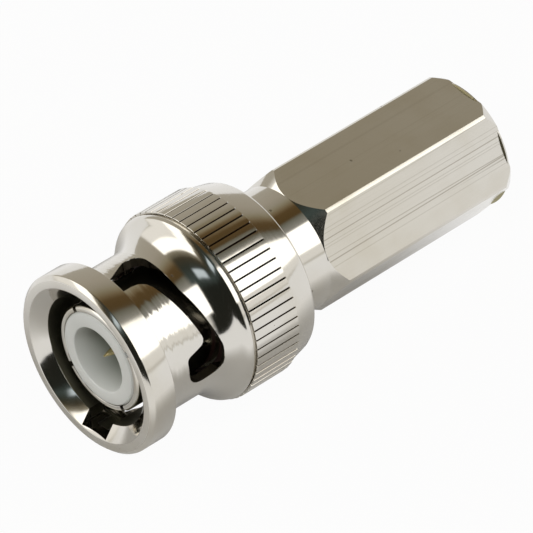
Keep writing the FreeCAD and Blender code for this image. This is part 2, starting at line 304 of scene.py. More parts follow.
def mixColour(tree, share, first, second):
    node = addNode(tree, "ShaderNodeMix", data_type="RGBA")
    for socket, value in zip((node.inputs[0], node.inputs[6], node.inputs[7]), (share, first, second)):
        feed(tree, socket, value)
    return node.outputs[2]


def ramp(tree, value, stops):
    node = addNode(tree, "ShaderNodeValToRGB")
    tree.links.new(value, node.inputs["Fac"])
    elements = node.color_ramp.elements
    while len(elements) < len(stops):
        elements.new(0.5)
    for element, (place, colour) in zip(elements, stops):
        element.position, element.color = place, (*colour, 1)
    return node.outputs["Color"]


def noise(tree, place, scale, detail=2.0, kind="3D"):
    node = addNode(tree, "ShaderNodeTexNoise", noise_dimensions=kind)
    tree.links.new(place, node.inputs["W" if kind == "1D" else "Vector"])
    node.inputs["Scale"].default_value, node.inputs["Detail"].default_value = scale, detail
    return node.outputs["Fac"]


def objectPlace(tree, scale=(1, 1, 1)):
    node = addNode(tree, "ShaderNodeMapping")
    tree.links.new(addNode(tree, "ShaderNodeTexCoord").outputs["Object"], node.inputs["Vector"])
    node.inputs["Scale"].default_value = scale
    return node.outputs["Vector"]


def bump(tree, shader, height, depth):
    node = addNode(tree, "ShaderNodeBump")
    node.inputs["Distance"].default_value = depth * mm
    tree.links.new(height, node.inputs["Height"])
    tree.links.new(node.outputs["Normal"], shader.inputs["Normal"])
    return node


def newMaterial(name):
    material = bpy.data.materials.new(name)
    material.use_nodes = True
    return material, material.node_tree, material.node_tree.nodes["Principled BSDF"]


def newGroup(name, inputs, outputs):
    group = bpy.data.node_groups.new(name, "ShaderNodeTree")
    for label, value in inputs.items():
        socket = group.interface.new_socket(label, in_out="INPUT", socket_type="NodeSocketFloat")
        socket.default_value = value
    for label in outputs:
        group.interface.new_socket(label, in_out="OUTPUT", socket_type="NodeSocketFloat")
    return group, addNode(group, "NodeGroupInput").outputs, addNode(group, "NodeGroupOutput").inputs


def useGroup(tree, group, **values):
    node = addNode(tree, "ShaderNodeGroup")
    node.node_tree = group
    for label, value in values.items():
        node.inputs[label].default_value = value
    return node.outputs


# Marks on the metal and the plastic: noise scales are per metre, other lengths are in mm
marks = {
    "ringSpacing": 0.08, "ringDetail": 3, "ringDrift": 0.06, "driftScale": 300, "waveScale": 4.5,
    "filmScale": 260, "filmDetail": 5, "filmEdges": (0.42, 0.72),
    "pitScale": 900, "pitEdges": (0.86, 0.90), "pitReach": 0.10,
}


def placeGroup():
    # where a point lies on the plug, as mm behind the mouth and mm from the axis,
    # and how far its normal points away from the axis and towards the mouth
    group, _, wanted = newGroup("plugPlace", {}, ("Station", "Radius", "Outward", "Forward"))
    coordinates = addNode(group, "ShaderNodeTexCoord")
    place, normal = addNode(group, "ShaderNodeSeparateXYZ"), addNode(group, "ShaderNodeSeparateXYZ")
    group.links.new(coordinates.outputs["Object"], place.inputs[0])
    group.links.new(coordinates.outputs["Normal"], normal.inputs[0])
    station = added(group, place.outputs["X"], 1 / mm, -mouthX / mm)
    side = times(group, place.outputs["Y"], 1 / mm)
    height = added(group, place.outputs["Z"], 1 / mm, -axisZ / mm)
    radius = mathNode(group, "SQRT", added(group, side, side, times(group, height, height)))
    along = added(group, normal.outputs["Y"], side, times(group, normal.outputs["Z"], height))
    group.links.new(station, wanted["Station"])
    group.links.new(radius, wanted["Radius"])
    group.links.new(mathNode(group, "DIVIDE", along, radius), wanted["Outward"])
    group.links.new(times(group, normal.outputs["X"], -1.0), wanted["Forward"])
    return group


def turningGroup():
    # Lines are the fine rings left by the lathe, Waves the broad ones left by polishing
    group, given, wanted = newGroup("turningMarks", {"Spacing": marks["ringSpacing"]}, ("Lines", "Waves"))
    plug = useGroup(group, plugPlace)
    along = mathNode(group, "ADD", plug["Station"], plug["Radius"])
    drift = noise(group, objectPlace(group), marks["driftScale"])
    across = added(group, drift, marks["ringDrift"], along)
    fine = mathNode(group, "DIVIDE", across, given["Spacing"])
    group.links.new(noise(group, fine, 1.0, marks["ringDetail"], "1D"), wanted["Lines"])
    group.links.new(noise(group, across, marks["waveScale"], kind="1D"), wanted["Waves"])
    return group


def wearGroup():
    # Smudge is the dull film of handling, Speck the tiny pits in the plating
    group, given, wanted = newGroup("platingWear", {"Size": 1.0}, ("Smudge", "Speck"))
    place = objectPlace(group)
    film = noise(group, place, marks["filmScale"], marks["filmDetail"])
    group.links.new(smoothRange(group, film, *marks["filmEdges"]), wanted["Smudge"])
    cells = addNode(group, "ShaderNodeTexVoronoi")
    group.links.new(place, cells.inputs["Vector"])
    cells.inputs["Scale"].default_value = marks["pitScale"]
    chosen = addNode(group, "ShaderNodeSeparateColor")
    group.links.new(cells.outputs["Color"], chosen.inputs[0])
    rare = smoothRange(group, chosen.outputs[0], *marks["pitEdges"])
    reach = times(group, given["Size"], marks["pitReach"])
    inside = mathNode(group, "LESS_THAN", cells.outputs["Distance"], reach)
    group.links.new(times(group, rare, inside), wanted["Speck"])
    return group


plugPlace = placeGroup()
turningMarks = turningGroup()
platingWear = wearGroup()


# Materials. The edges of a mask are two values: it rises from the first to the second

# plating colours; the dark bore colour is painted shade for the bores
plating = {
    "colour": (0.67, 0.645, 0.595), "film": (0.60, 0.56, 0.48), "pit": (0.25, 0.22, 0.17),
    "paintedBoreShade": (0.13, 0.125, 0.09), "filmRoughness": 0.05, "pitShade": 0.7,
}

nutFinish = {
    # painted shade: near-black colours for the bottoms of the knurl grooves and for the walls of the cam slots
    "paintedGrooveShade": (0.11, 0.08, 0.05), "paintedWallShade": (0.05, 0.042, 0.03),
    "ringSpacing": 0.09, "pitSize": 0.8, "filmShare": 0.5,
    "roughness": 0.06, "ringRoughness": 0.08, "faceRoughness": 0.24, "cutRoughness": 0.35,
    "slotInset": 0.1, "slotEnd": 7.7, "slotSoft": 0.05, "wallSink": 0.05, "wallLean": 0.6, "coveCurve": 0.2,
    "boreEdges": (5.22, 5.18), "mouthEdges": (0.84, 0.88), "faceEdges": (0.3, 0.1), "faceLean": (0.95, 0.99),
    "grooveStart": 0.9, "grooveInset": 0.02, "grooveEdges": (0.05, 0.01),
    "knurlShadeInset": 0.06, "knurlShadeEdges": (-0.015, -0.05), "soft": 0.03,
    "ringDepth": 0.0016, "rings": 0.35, "barrelRings": 2.2, "waves": 0.5, "barrelWaves": 4.0, "pitDepth": 2.0,
    "barrelFade": 0.6, "chatter": 0.02, "barrelChatter": 0.15,
    "chatterScale": (5500, 260, 260), "chatterDetail": 3,
}


def chatteredNormal(tree, brushed):
    # chatter of the tool turns the normal a little round the axis, which tears the edges of reflections
    f = nutFinish
    tremble = minus(tree, noise(tree, objectPlace(tree, f["chatterScale"]), 1.0, f["chatterDetail"]), 0.5)
    tremble = times(tree, tremble, added(tree, brushed, f["barrelChatter"], f["chatter"]))
    normal = addNode(tree, "ShaderNodeNewGeometry").outputs["Normal"]
    aside = vectorNode(tree, "CROSS_PRODUCT", normal, (1, 0, 0))
    push = vectorNode(tree, "SCALE", aside.outputs[0])
    tree.links.new(tremble, push.inputs["Scale"])
    total = vectorNode(tree, "ADD", normal, push.outputs[0])
    return vectorNode(tree, "NORMALIZE", total.outputs[0]).outputs[0]


def nutNickel():
    material, tree, shader = newMaterial("nickelNut")
    f, n = nutFinish, nut
    plug = useGroup(tree, plugPlace)
    station, radius = plug["Station"], plug["Radius"]
    rings = useGroup(tree, turningMarks, Spacing=f["ringSpacing"])
    wear = useGroup(tree, platingWear, Size=f["pitSize"])
    # painted shade: the walls of the cam slots are coloured near black; they lie under the barrel's and the
    # cove's surface and don't face outwards
    rise = largest(tree, minus(tree, station, n["barrelEnd"]), 0.0)
    outer = added(tree, times(tree, rise, rise), f["coveCurve"], n["barrelRadius"] - f["wallSink"])
    under = mathNode(tree, "LESS_THAN", minus(tree, radius, outer), 0.0)
    upright = mathNode(tree, "LESS_THAN", absolute(tree, plug["Outward"]), f["wallLean"])
    slotted = band(tree, station, n["flangeLength"] + f["slotInset"], f["slotEnd"], f["slotSoft"])
    wall = times(tree, under, upright, slotted)
    # painted shade in the bore, on the floors of the entry grooves and at the bottoms of the knurl
    inside = times(tree, smoothRange(tree, radius, *f["boreEdges"]),
                   smoothRange(tree, station, *f["mouthEdges"]))
    floorEdges = [cam["grooveFloor"] + edge for edge in f["grooveEdges"]]
    grooved = band(tree, station, f["grooveStart"], n["flangeLength"] - f["grooveInset"], f["soft"])
    inside = largest(tree, inside, times(tree, smoothRange(tree, radius, *floorEdges), grooved))
    ribEdges = [n["knurlRadius"] + edge for edge in f["knurlShadeEdges"]]
    knurled = band(tree, station, n["knurlStart"] + f["knurlShadeInset"], n["knurlEnd"] - f["knurlShadeInset"], f["soft"])
    knurlShade = times(tree, smoothRange(tree, radius, *ribEdges), knurled)
    colour = mixColour(tree, times(tree, wear["Smudge"], f["filmShare"]), plating["colour"], plating["film"])
    colour = mixColour(tree, times(tree, wear["Speck"], plating["pitShade"]), colour, plating["pit"])
    for mask, tint in ((knurlShade, f["paintedGrooveShade"]), (inside, plating["paintedBoreShade"]), (wall, f["paintedWallShade"])):
        colour = mixColour(tree, mask, colour, tint)
    tree.links.new(colour, shader.inputs["Base Color"])
    shader.inputs["Metallic"].default_value = 1
    face = times(tree, smoothRange(tree, plug["Forward"], *f["faceLean"]),
                 smoothRange(tree, station, *f["faceEdges"]))
    rough = added(tree, rings["Lines"], f["ringRoughness"], f["roughness"])
    rough = added(tree, wear["Smudge"], plating["filmRoughness"], rough)
    rough = added(tree, face, f["faceRoughness"], rough)
    rough = added(tree, largest(tree, wall, inside), f["cutRoughness"], rough)
    tree.links.new(rough, shader.inputs["Roughness"])
    brushed = band(tree, station, n["flangeLength"], n["barrelEnd"], f["barrelFade"])
    height = times(tree, rings["Lines"], added(tree, brushed, f["barrelRings"], f["rings"]))
    height = added(tree, rings["Waves"], added(tree, brushed, f["barrelWaves"], f["waves"]), height)
    height = minus(tree, height, times(tree, wear["Speck"], f["pitDepth"]))
    marked = bump(tree, shader, height, f["ringDepth"])
    tree.links.new(chatteredNormal(tree, brushed), marked.inputs["Normal"])
    return material


barFinish = {
    "wornRim": (0.40, 0.37, 0.23), "ringSpacing": 0.12, "pitSize": 1.0,
    "flatStart": 0.1, "flatLean": (0.12, 0.04), "boreLean": (-0.4, -0.6), "boreShare": 0.6,
    "lineScale": (6, 1350, 1350), "lineDetail": 1, "lineEdges": (0.011, 0.003), "lineShade": 0.6,
    "streakScale": (60, 7000, 7000), "streakDetail": 3,
    "sideEdges": (2.5, 3.4), "topLines": 0.15, "sideLines": 0.85,
    "hazeEdges": (34, 21), "haze": 0.6, "filmShare": 0.4, "rimEdges": (-0.03, -0.01), "rimLean": (0.3, 0.6),
    "roughness": 0.09, "streakRoughness": 0.14, "wornRoughness": 0.25,
    "lineDepth": 0.004, "streaks": 0.5, "lines": -0.3, "rings": 0.15,
}


def barNickel():
    material, tree, shader = newMaterial("nickelBar")
    f, b = barFinish, body
    plug = useGroup(tree, plugPlace)
    station, forward = plug["Station"], plug["Forward"]
    rings = useGroup(tree, turningMarks, Spacing=f["ringSpacing"])
    wear = useGroup(tree, platingWear, Size=f["pitSize"])
    # long lines drawn along the flats of the bar, from thin contours of a stretched noise
    flats = times(tree, smoothRange(tree, station, b["hexStart"], b["hexStart"] + f["flatStart"]),
                  smoothRange(tree, absolute(tree, forward), *f["flatLean"]))
    contour = noise(tree, objectPlace(tree, f["lineScale"]), 1.0, f["lineDetail"])
    line = smoothRange(tree, absolute(tree, minus(tree, contour, 0.5)), *f["lineEdges"])
    streak = noise(tree, objectPlace(tree, f["streakScale"]), 1.0, f["streakDetail"])
    place = addNode(tree, "ShaderNodeSeparateXYZ")
    tree.links.new(objectPlace(tree), place.inputs[0])
    sides = smoothRange(tree, absolute(tree, place.outputs["Y"]), *(edge * mm for edge in f["sideEdges"]))
    line = times(tree, line, added(tree, sides, f["sideLines"], f["topLines"]))
    haze = times(tree, smoothRange(tree, station, *f["hazeEdges"]), flats)
    haze = added(tree, haze, f["haze"], times(tree, wear["Smudge"], f["filmShare"]))
    colour = mixColour(tree, haze, plating["colour"], plating["film"])
    shade = times(tree, flats, times(tree, line, f["lineShade"]))
    shade = largest(tree, shade, times(tree, wear["Speck"], plating["pitShade"]))
    colour = mixColour(tree, shade, colour, plating["pit"])
    # painted shade down the bores: faces that look towards the axis are coloured darker
    inside = smoothRange(tree, plug["Outward"], *f["boreLean"])
    colour = mixColour(tree, times(tree, inside, f["boreShare"]), colour, plating["paintedBoreShade"])
    rimEdges = [b["hexEnd"] - b["rimLength"] + edge for edge in f["rimEdges"]]
    worn = times(tree, smoothRange(tree, station, *rimEdges), smoothRange(tree, forward, *f["rimLean"]))
    tree.links.new(mixColour(tree, worn, colour, f["wornRim"]), shader.inputs["Base Color"])
    shader.inputs["Metallic"].default_value = 1
    rough = added(tree, times(tree, streak, flats), f["streakRoughness"], f["roughness"])
    rough = added(tree, wear["Smudge"], plating["filmRoughness"], rough)
    rough = added(tree, largest(tree, inside, worn), f["wornRoughness"], rough)
    tree.links.new(rough, shader.inputs["Roughness"])
    drawn = times(tree, flats, added(tree, streak, f["streaks"], times(tree, line, f["lines"])))
    turnedPart = times(tree, minus(tree, 1.0, flats), times(tree, rings["Lines"], f["rings"]))
    height = minus(tree, mathNode(tree, "ADD", drawn, turnedPart), wear["Speck"])
    bump(tree, shader, height, f["lineDepth"])
    return material


milkyPlastic = {
    "colour": (0.76, 0.77, 0.745), "film": (0.70, 0.71, 0.68), "pit": (0.45, 0.42, 0.36),
    # painted shade down the bore: its colour, its reach along the bore and how far the faces must look towards
    # the axis
    "depthShade": (0.30, 0.315, 0.27), "depthShadeEdges": (0.6, 4.2), "depthShadeLean": (-0.3, -0.8),
    "filmShare": 0.5, "pitSize": 0.4,
    "ringSpacing": 0.15, "ringDepth": 0.001, "roughness": 0.34, "ringRoughness": 0.14,
}


def depthShadePlastic():
    # milky plastic with painted shade, greyer and greener down its bore
    material, tree, shader = newMaterial("whitePlastic")
    f = milkyPlastic
    plug = useGroup(tree, plugPlace)
    rings = useGroup(tree, turningMarks, Spacing=f["ringSpacing"])
    wear = useGroup(tree, platingWear, Size=f["pitSize"])
    depthShade = times(tree, smoothRange(tree, plug["Outward"], *f["depthShadeLean"]),
                 smoothRange(tree, plug["Station"], *f["depthShadeEdges"]))
    colour = mixColour(tree, times(tree, wear["Smudge"], f["filmShare"]), f["colour"], f["film"])
    colour = mixColour(tree, depthShade, colour, f["depthShade"])
    tree.links.new(mixColour(tree, wear["Speck"], colour, f["pit"]), shader.inputs["Base Color"])
    rough = added(tree, rings["Lines"], f["ringRoughness"], f["roughness"])
    tree.links.new(rough, shader.inputs["Roughness"])
    bump(tree, shader, rings["Lines"], f["ringDepth"])
    return material


# pieces that show little: colour, film of handling, roughness, metallic, spacing and depth of the rings
plainFinishes = {
    "nickelContact": ((0.67, 0.65, 0.60), (0.58, 0.54, 0.46), 0.16, 1, 0.07, 0.001),
    "paleGold": ((0.62, 0.52, 0.27), (0.45, 0.38, 0.20), 0.2, 1, 0.05, 0.001),
    "beadPlastic": ((0.74, 0.74, 0.70), (0.66, 0.66, 0.62), 0.45, 0, 0.15, 0.001),
    "springSteel": ((0.50, 0.47, 0.43), (0.36, 0.33, 0.29), 0.3, 1, 0.12, 0.001),
    "washerSteel": ((0.55, 0.53, 0.49), (0.42, 0.39, 0.35), 0.28, 1, 0.08, 0.001),
    # dark rubber of the gasket, darkened further to near black as painted shade where it shows through the cam
    # slots
    "shadedSealRubber": ((0.045, 0.02, 0.016), (0.07, 0.04, 0.034), 0.65, 0, 0.2, 0.002),
}
plainWear = {"pitSize": 0.6, "ringRoughness": 0.12, "filmRoughness": 0.06}


def plainFinish(name):
    colour, film, roughness, metallic, spacing, depth = plainFinishes[name]
    material, tree, shader = newMaterial(name)
    rings = useGroup(tree, turningMarks, Spacing=spacing)
    wear = useGroup(tree, platingWear, Size=plainWear["pitSize"])
    tree.links.new(mixColour(tree, wear["Smudge"], colour, film), shader.inputs["Base Color"])
    shader.inputs["Metallic"].default_value = metallic
    rough = added(tree, rings["Lines"], plainWear["ringRoughness"], roughness - plainWear["ringRoughness"] / 2)
    rough = added(tree, wear["Smudge"], plainWear["filmRoughness"], rough)
    tree.links.new(rough, shader.inputs["Roughness"])
    bump(tree, shader, rings["Lines"], depth)
    return material


# Coupling nut

nut = {
    "mouthRadius": 5.95, "mouthDepth": 0.85, "boreRadius": 4.95,
    "flangeRadius": 6.85, "flangeLength": 2.2, "flangeBevel": 0.3,
    "barrelRadius": 5.6, "barrelEnd": 6.3,
    "coveLength": 2.2, "coveRise": 1.21, "coveParts": 12,
    "beadRadius": 7.1, "beadEnd": 9.1, "beadLength": 0.3, "reliefRadius": 6.95,
    "knurlRadius": 7.25, "knurlStart": 9.25, "knurlEnd": 13.1,
    "knurlCount": 60, "knurlDepth": 0.16, "knurlGroove": 1.05, "knurlCrown": 0.01, "knurlRounding": 0.05,
    "skirtRadius": 7.13, "skirtEndRadius": 6.65, "skirtEnd": 15.2, "skirtBore": 4.88,
    "lipStart": 12.5, "lipEnd": 13.7, "lipRadius": 4.23,
    "phase": -8.8,
}

cam = {
    "grooveWidth": 2.5, "grooveFloor": 5.75, "channelFloor": 5.4, "grooveEnd": 4.98,
    "rampStart": 4.18, "rampLead": 10.15, "studWidth": 2.2, "studFloor": 5.55, "lockAngle": 92.3,
    "pathEnd": 7.88, "pathSteps": 64, "cutInside": 4.5, "cutOutside": 16.0, "step": 0.3,
    "grooveFront": -1, "grooveInside": 3, "grooveShort": 0.1, "arcParts": 8,
}

# corners of the cam window as angle, station and rounding
windowCorners = [
    (-2.5, 2.75, 0.2), (12.8, 2.75, 0.2), (12.8, 4.6, 1.2), (74.5, 6.28, 0.55),
    (79.9, 4.47, 0.4), (105.7, 4.47, 1.2), (105.7, 7.46, 1.25), (83.0, 7.46, 1.0),
    (33.0, 6.27, 1.0), (-12.8, 6.22, 1.0), (-12.8, 4.95, 0.4), (-4.2, 3.3, 0.4),
]


def flatOutline(corners):
    # the window unrolled: each corner is rounded by an arc and each long side divided
    wide = nut["barrelRadius"] * math.pi / 180
    places = [Vector((angle * wide, station)) for angle, station, rounding in corners]
    outline = []
    for k, (angle, station, rounding) in enumerate(corners):
        here, before, after = places[k], places[k - 1], places[(k + 1) % len(places)]
        back, forth = (before - here).normalized(), (after - here).normalized()
        half = back.angle(forth) / 2
        reach = rounding / math.tan(half)
        centre = here + (back + forth).normalized() * rounding / math.sin(half)
        start, end = here + back * reach, here + forth * reach
        sweep = (start - centre).angle_signed(end - centre)
        parts = max(3, round(abs(sweep) * cam["arcParts"] / math.pi))
        spoke = start - centre
        outline += [centre + Matrix.Rotation(-sweep * n / parts, 2) @ spoke for n in range(parts + 1)]
    divided = []
    for k, place in enumerate(outline):
        following = outline[(k + 1) % len(outline)]
        parts = max(1, math.ceil((following - place).length / cam["step"]))
        divided += [place.lerp(following, n / parts) for n in range(parts)]
    return [(place.x / wide, place.y) for place in divided]


def sweepAboutAxis(piece, angle, climb, steps):
    # a screw modifier turns about the object's own X, so the piece is lowered for it
    pick(piece)
    bpy.ops.transform.translate(value=(0, 0, -axisZ))
    bpy.ops.object.transform_apply()
    bpy.ops.object.modifier_add(type="SCREW")
    sweep = piece.modifiers[-1]
    sweep.axis, sweep.angle, sweep.screw_offset = "X", math.radians(angle), climb * mm
    sweep.steps = sweep.render_steps = steps
    bpy.ops.object.modifier_apply(modifier=sweep.name)
    bpy.ops.transform.translate(value=(0, 0, axisZ))
    bpy.ops.object.transform_apply()
    closeHoles(piece)


def windowCutter():
    outline = flatOutline(windowCorners)
    cutter = loop("windowCutter", [placed(station, cam["cutInside"], angle) for angle, station in outline])
    bpy.ops.mesh.select_all(action="SELECT")
    bpy.ops.mesh.edge_face_add()
    bpy.ops.mesh.quads_convert_to_tris()
    grow = cam["cutOutside"] / cam["cutInside"]
    bpy.ops.mesh.extrude_region_move(TRANSFORM_OT_translate={"value": (0, 0, 0)})
    bpy.ops.transform.resize(value=(1, grow, grow), center_override=axisPoint)
    faceOutwards()
    return cutter


def studPathCutter():
    # the stud's way under the cove, which climbs from the groove to the lock hole
    low, high = cam["cutInside"], cam["studFloor"]
    start, end = cam["rampStart"], cam["rampStart"] + cam["studWidth"]
    corners = [(start, low), (start, high), (end, high), (end, low)]
    cutter = loop("studPathCutter", [placed(station, radius) for station, radius in corners])
    bpy.ops.object.mode_set(mode="OBJECT")
    sweepAboutAxis(cutter, cam["lockAngle"], cam["rampLead"] * cam["lockAngle"] / 360, cam["pathSteps"])
    return cutter


def arcProfile(centreStation, centreRadius, radius, start, end, parts):
    # an arc of a profile between two angles, 0 pointing away from the axis and 90 to the rear
    turns = [math.radians(start + (end - start) * k / parts) for k in range(parts + 1)]
    return [(centreStation + radius * math.sin(t), centreRadius + radius * math.cos(t)) for t in turns]


def knurl(piece, column):
    # sinks one column of points in each pitch and draws its neighbours in, which leaves broad ribs
    n = nut
    pitch, slack = 360 / n["knurlCount"], 0.01

    def onBand(place, offset):
        away = (angleOf(place) - offset + pitch / 2) % pitch - pitch / 2
        return (abs(away) < 0.3 * column and n["knurlStart"] - slack < stationOf(place) < n["knurlEnd"] + slack
                and radiusOf(place) > n["knurlRadius"] - n["knurlRounding"] - 2 * slack)

    pick(piece)
    for offset, drop in ((0, n["knurlDepth"]), (column, n["knurlCrown"]), (-column, n["knurlCrown"])):
        choose(piece, lambda place: onBand(place, offset))
        sink = 1 - drop / n["knurlRadius"]
        bpy.ops.transform.resize(value=(1, sink, sink), center_override=axisPoint)
        if offset:
            turnSelected(math.copysign(n["knurlGroove"] / 2, offset) - offset)
    bpy.ops.object.mode_set(mode="OBJECT")


def couplingNut():
    n = nut
    coveRadius = (n["coveLength"] ** 2 + n["coveRise"] ** 2) / (2 * n["coveRise"])
    coveTurn = math.degrees(math.asin(n["coveLength"] / coveRadius))
    coveCentre = n["barrelRadius"] + coveRadius
    profile = [
        (0, n["mouthRadius"], 0.07),
        (0, n["flangeRadius"] - n["flangeBevel"], 0.06),
        (n["flangeBevel"], n["flangeRadius"], 0.08),
        (n["flangeLength"], n["flangeRadius"], 0.1),
        (n["flangeLength"], n["barrelRadius"], 0.12),
        *arcProfile(n["barrelEnd"], coveCentre, coveRadius, 180, 180 - coveTurn, n["coveParts"]),
        (n["beadEnd"] - n["beadLength"], n["beadRadius"], 0.2),
        (n["beadEnd"], n["beadRadius"], 0.06),
        (n["beadEnd"], n["reliefRadius"]),
        (n["knurlStart"], n["reliefRadius"]),
        (n["knurlStart"], n["knurlRadius"], n["knurlRounding"]),
        (n["knurlEnd"], n["knurlRadius"], n["knurlRounding"]),
        (n["knurlEnd"], n["skirtRadius"]),
        (n["skirtEnd"], n["skirtEndRadius"], 0.3),
        (n["skirtEnd"], n["skirtBore"], 0.05),
        (n["lipEnd"], n["skirtBore"]),
        (n["lipEnd"], n["lipRadius"]),
        (n["lipStart"], n["lipRadius"]),
        (n["lipStart"], n["boreRadius"]),
        (n["mouthDepth"], n["boreRadius"], 0.05),
    ]
    piece = turned("couplingNut", profile, roundSteps)
    knurl(piece, 360 / roundSteps)
    half, front, inside = cam["grooveWidth"] / 2, cam["grooveFront"], cam["grooveInside"]
    flangeCut = n["flangeLength"] - cam["grooveShort"]
    cutters = [
        block("flangeGrooveCutter", (front, -half, inside), (flangeCut, half, cam["grooveFloor"])),
        block("grooveCutter", (front, -half, inside), (cam["grooveEnd"], half, cam["channelFloor"])),
        windowCutter(),
        studPathCutter(),
        radialDrill("pathEndCutter", cam["lockAngle"], cam["pathEnd"], cam["grooveWidth"], cam["studFloor"]),
    ]
    for cutter in cutters:
        cut(piece, copies(cutter, 2))
    turnAboutAxis(piece, n["phase"])
    finish(piece, "nut", nutNickel(), "coupling_nut")


# Body of hexagon bar

body = {
    "spigotRadius": 4.15, "spigotStart": 10.2, "neckStart": 13.8, "neckRadius": 4.79,
    "hexStart": 18.3, "halfFlats": 4.8, "cornerRadius": 5.465, "hexEnd": 35.5, "sharp": 12,
    "frontBevelLength": 1.2, "rearBevelLength": 0.75, "rearBevelDrop": 0.39,
    "rimRadius": 4.97, "rimLength": 0.16, "rimSlope": 0.03, "rimSunk": 0.1, "rimInside": 0.4,
    "spigotBore": 3.55, "spigotBoreEnd": 15.0, "midBore": 2.0,
    "cableBore": 3.05, "cableStop": 20.1, "cableMouth": 3.45,
    "threadLead": 1.8, "threadDepth": 0.33, "threadWidth": 1.2, "threadRunout": 1.2,
    "threadStart": 0.6, "threadInside": 0.15, "threadSteps": 48,
}


def threadCutter():
    # the coarse thread in the cable bore, swept as one long ridge
    b = body
    turns = (b["hexEnd"] - b["cableStop"] - b["threadRunout"]) / b["threadLead"]
    start = b["cableStop"] + b["threadStart"]
    low, high = b["cableBore"] - b["threadInside"], b["cableBore"] + b["threadDepth"]
    cutter = loop("threadCutter", [placed(start, low), placed(start + b["threadWidth"] / 2, high),
                                   placed(start + b["threadWidth"], low)])
    bpy.ops.object.mode_set(mode="OBJECT")
    sweepAboutAxis(cutter, 360 * turns, b["threadLead"] * turns, round(b["threadSteps"] * turns))
    return cutter


def hexBody():
    b = body
    profile = [
        (b["spigotStart"], b["spigotBore"], 0.05),
        (b["spigotStart"], b["spigotRadius"], 0.08),
        (b["neckStart"], b["spigotRadius"]),
        (b["neckStart"], b["neckRadius"], 0.06),
        (b["hexStart"], b["neckRadius"]),
        (b["hexStart"] + b["frontBevelLength"], b["cornerRadius"]),
        (b["hexEnd"] - b["rearBevelLength"], b["cornerRadius"]),
        (b["hexEnd"], b["cornerRadius"] - b["rearBevelDrop"], 0.04),
        (b["hexEnd"], b["cableMouth"], 0.03),
        (b["hexEnd"] - b["cableMouth"] + b["cableBore"], b["cableBore"]),
        (b["cableStop"], b["cableBore"]),
        (b["cableStop"], b["midBore"]),
        (b["spigotBoreEnd"], b["midBore"]),
        (b["spigotBoreEnd"], b["spigotBore"]),
    ]
    piece = turned("hexBody", profile, roundSteps)
    for k in range(6):
        pick(piece)
        bpy.ops.object.mode_set(mode="EDIT")
        bpy.ops.mesh.select_all(action="SELECT")
        outward = (placed(0, 1, 60 * k) - placed(0, 0)).normalized()
        bpy.ops.mesh.bisect(plane_co=placed(0, b["halfFlats"], 60 * k), plane_no=outward, use_fill=True,
                            clear_outer=True, threshold=tiny)
        bpy.ops.object.mode_set(mode="OBJECT")
    # the cutter that made the flats stopped short of the end and left a thin round rim
    rimStart = b["hexEnd"] - b["rimLength"]
    rim = turned("rearRim", [
        (rimStart, b["halfFlats"] - b["rimSunk"]),
        (rimStart + b["rimSlope"], b["rimRadius"]),
        (b["hexEnd"], b["rimRadius"] - b["rimSlope"]),
        (b["hexEnd"], b["cableMouth"] + b["rimSunk"]),
        (rimStart, b["cableMouth"] + b["rimInside"]),
    ], roundSteps)
    cut(piece, rim, "UNION")
    cut(piece, threadCutter())
    finish(piece, "plug_body", barNickel(), "hex_body", b["sharp"])


# Slotted outer contact

contact = {
    "radius": 4.05, "bore": 3.6, "tip": 1.15, "tipBevel": 0.15, "seatStart": 8.4, "seatRadius": 4.25,
    "flangeStart": 9.0, "flangeEnd": 10.2, "flangeRadius": 4.87, "tailRadius": 3.53, "tailEnd": 13.2,
    "tailBore": 2.98, "stepEnd": 9.6, "slits": 4, "slitWidth": 0.4, "slitEnd": 6.65, "slitAngle": 48,
    "slitInside": 2.5, "slitOutside": 6,
}


def outerContact():
    c = contact
    profile = [
        (c["tip"], c["bore"], 0.05),
        (c["tip"], c["radius"] - c["tipBevel"], 0.05),
        (c["tip"] + c["tipBevel"], c["radius"], 0.05),
        (c["seatStart"], c["radius"]),
        (c["seatStart"], c["seatRadius"]),
        (c["flangeStart"], c["seatRadius"]),
        (c["flangeStart"], c["flangeRadius"], 0.08),
        (c["flangeEnd"], c["flangeRadius"], 0.08),
        (c["flangeEnd"], c["tailRadius"]),
        (c["tailEnd"], c["tailRadius"], 0.05),
        (c["tailEnd"], c["tailBore"], 0.05),
        (c["stepEnd"], c["tailBore"]),
        (c["stepEnd"], c["bore"]),
    ]
    piece = turned("outerContact", profile, contactSteps)
    half = c["slitWidth"] / 2
    slit = block("slitCutter", (0, -half, c["slitInside"]), (c["slitEnd"], half, c["slitOutside"]))
    cut(piece, copies(slit, c["slits"]))
    turnAboutAxis(piece, c["slitAngle"])
    finish(piece, "plug_body", plainFinish("nickelContact"), "outer_contact")


# White front insulator and the pin in it

insulator = {
    "front": 1.07, "bore": 2.45, "radius": 3.58, "stepEnd": 9.6, "tailRadius": 2.96, "tailEnd": 13.2,
    "collarRadius": 1.095, "collarStart": 9.97, "rootRadius": 0.895, "floor": 7.97, "frontRounding": 0.25,
}


def frontInsulator():
    s = insulator
    profile = [
        (s["front"], s["bore"], 0.12),
        (s["front"], s["radius"], s["frontRounding"]),
        (s["stepEnd"], s["radius"]),
        (s["stepEnd"], s["tailRadius"]),
        (s["tailEnd"], s["tailRadius"]),
        (s["tailEnd"], s["collarRadius"]),
        (s["collarStart"], s["collarRadius"]),
        (s["collarStart"], s["rootRadius"]),
        (s["floor"], s["rootRadius"]),
        (s["floor"], s["bore"], 0.1),
    ]
    piece = turned("frontInsulator", profile, contactSteps)
    finish(piece, "plug_body", depthShadePlastic(), "front_insulator")


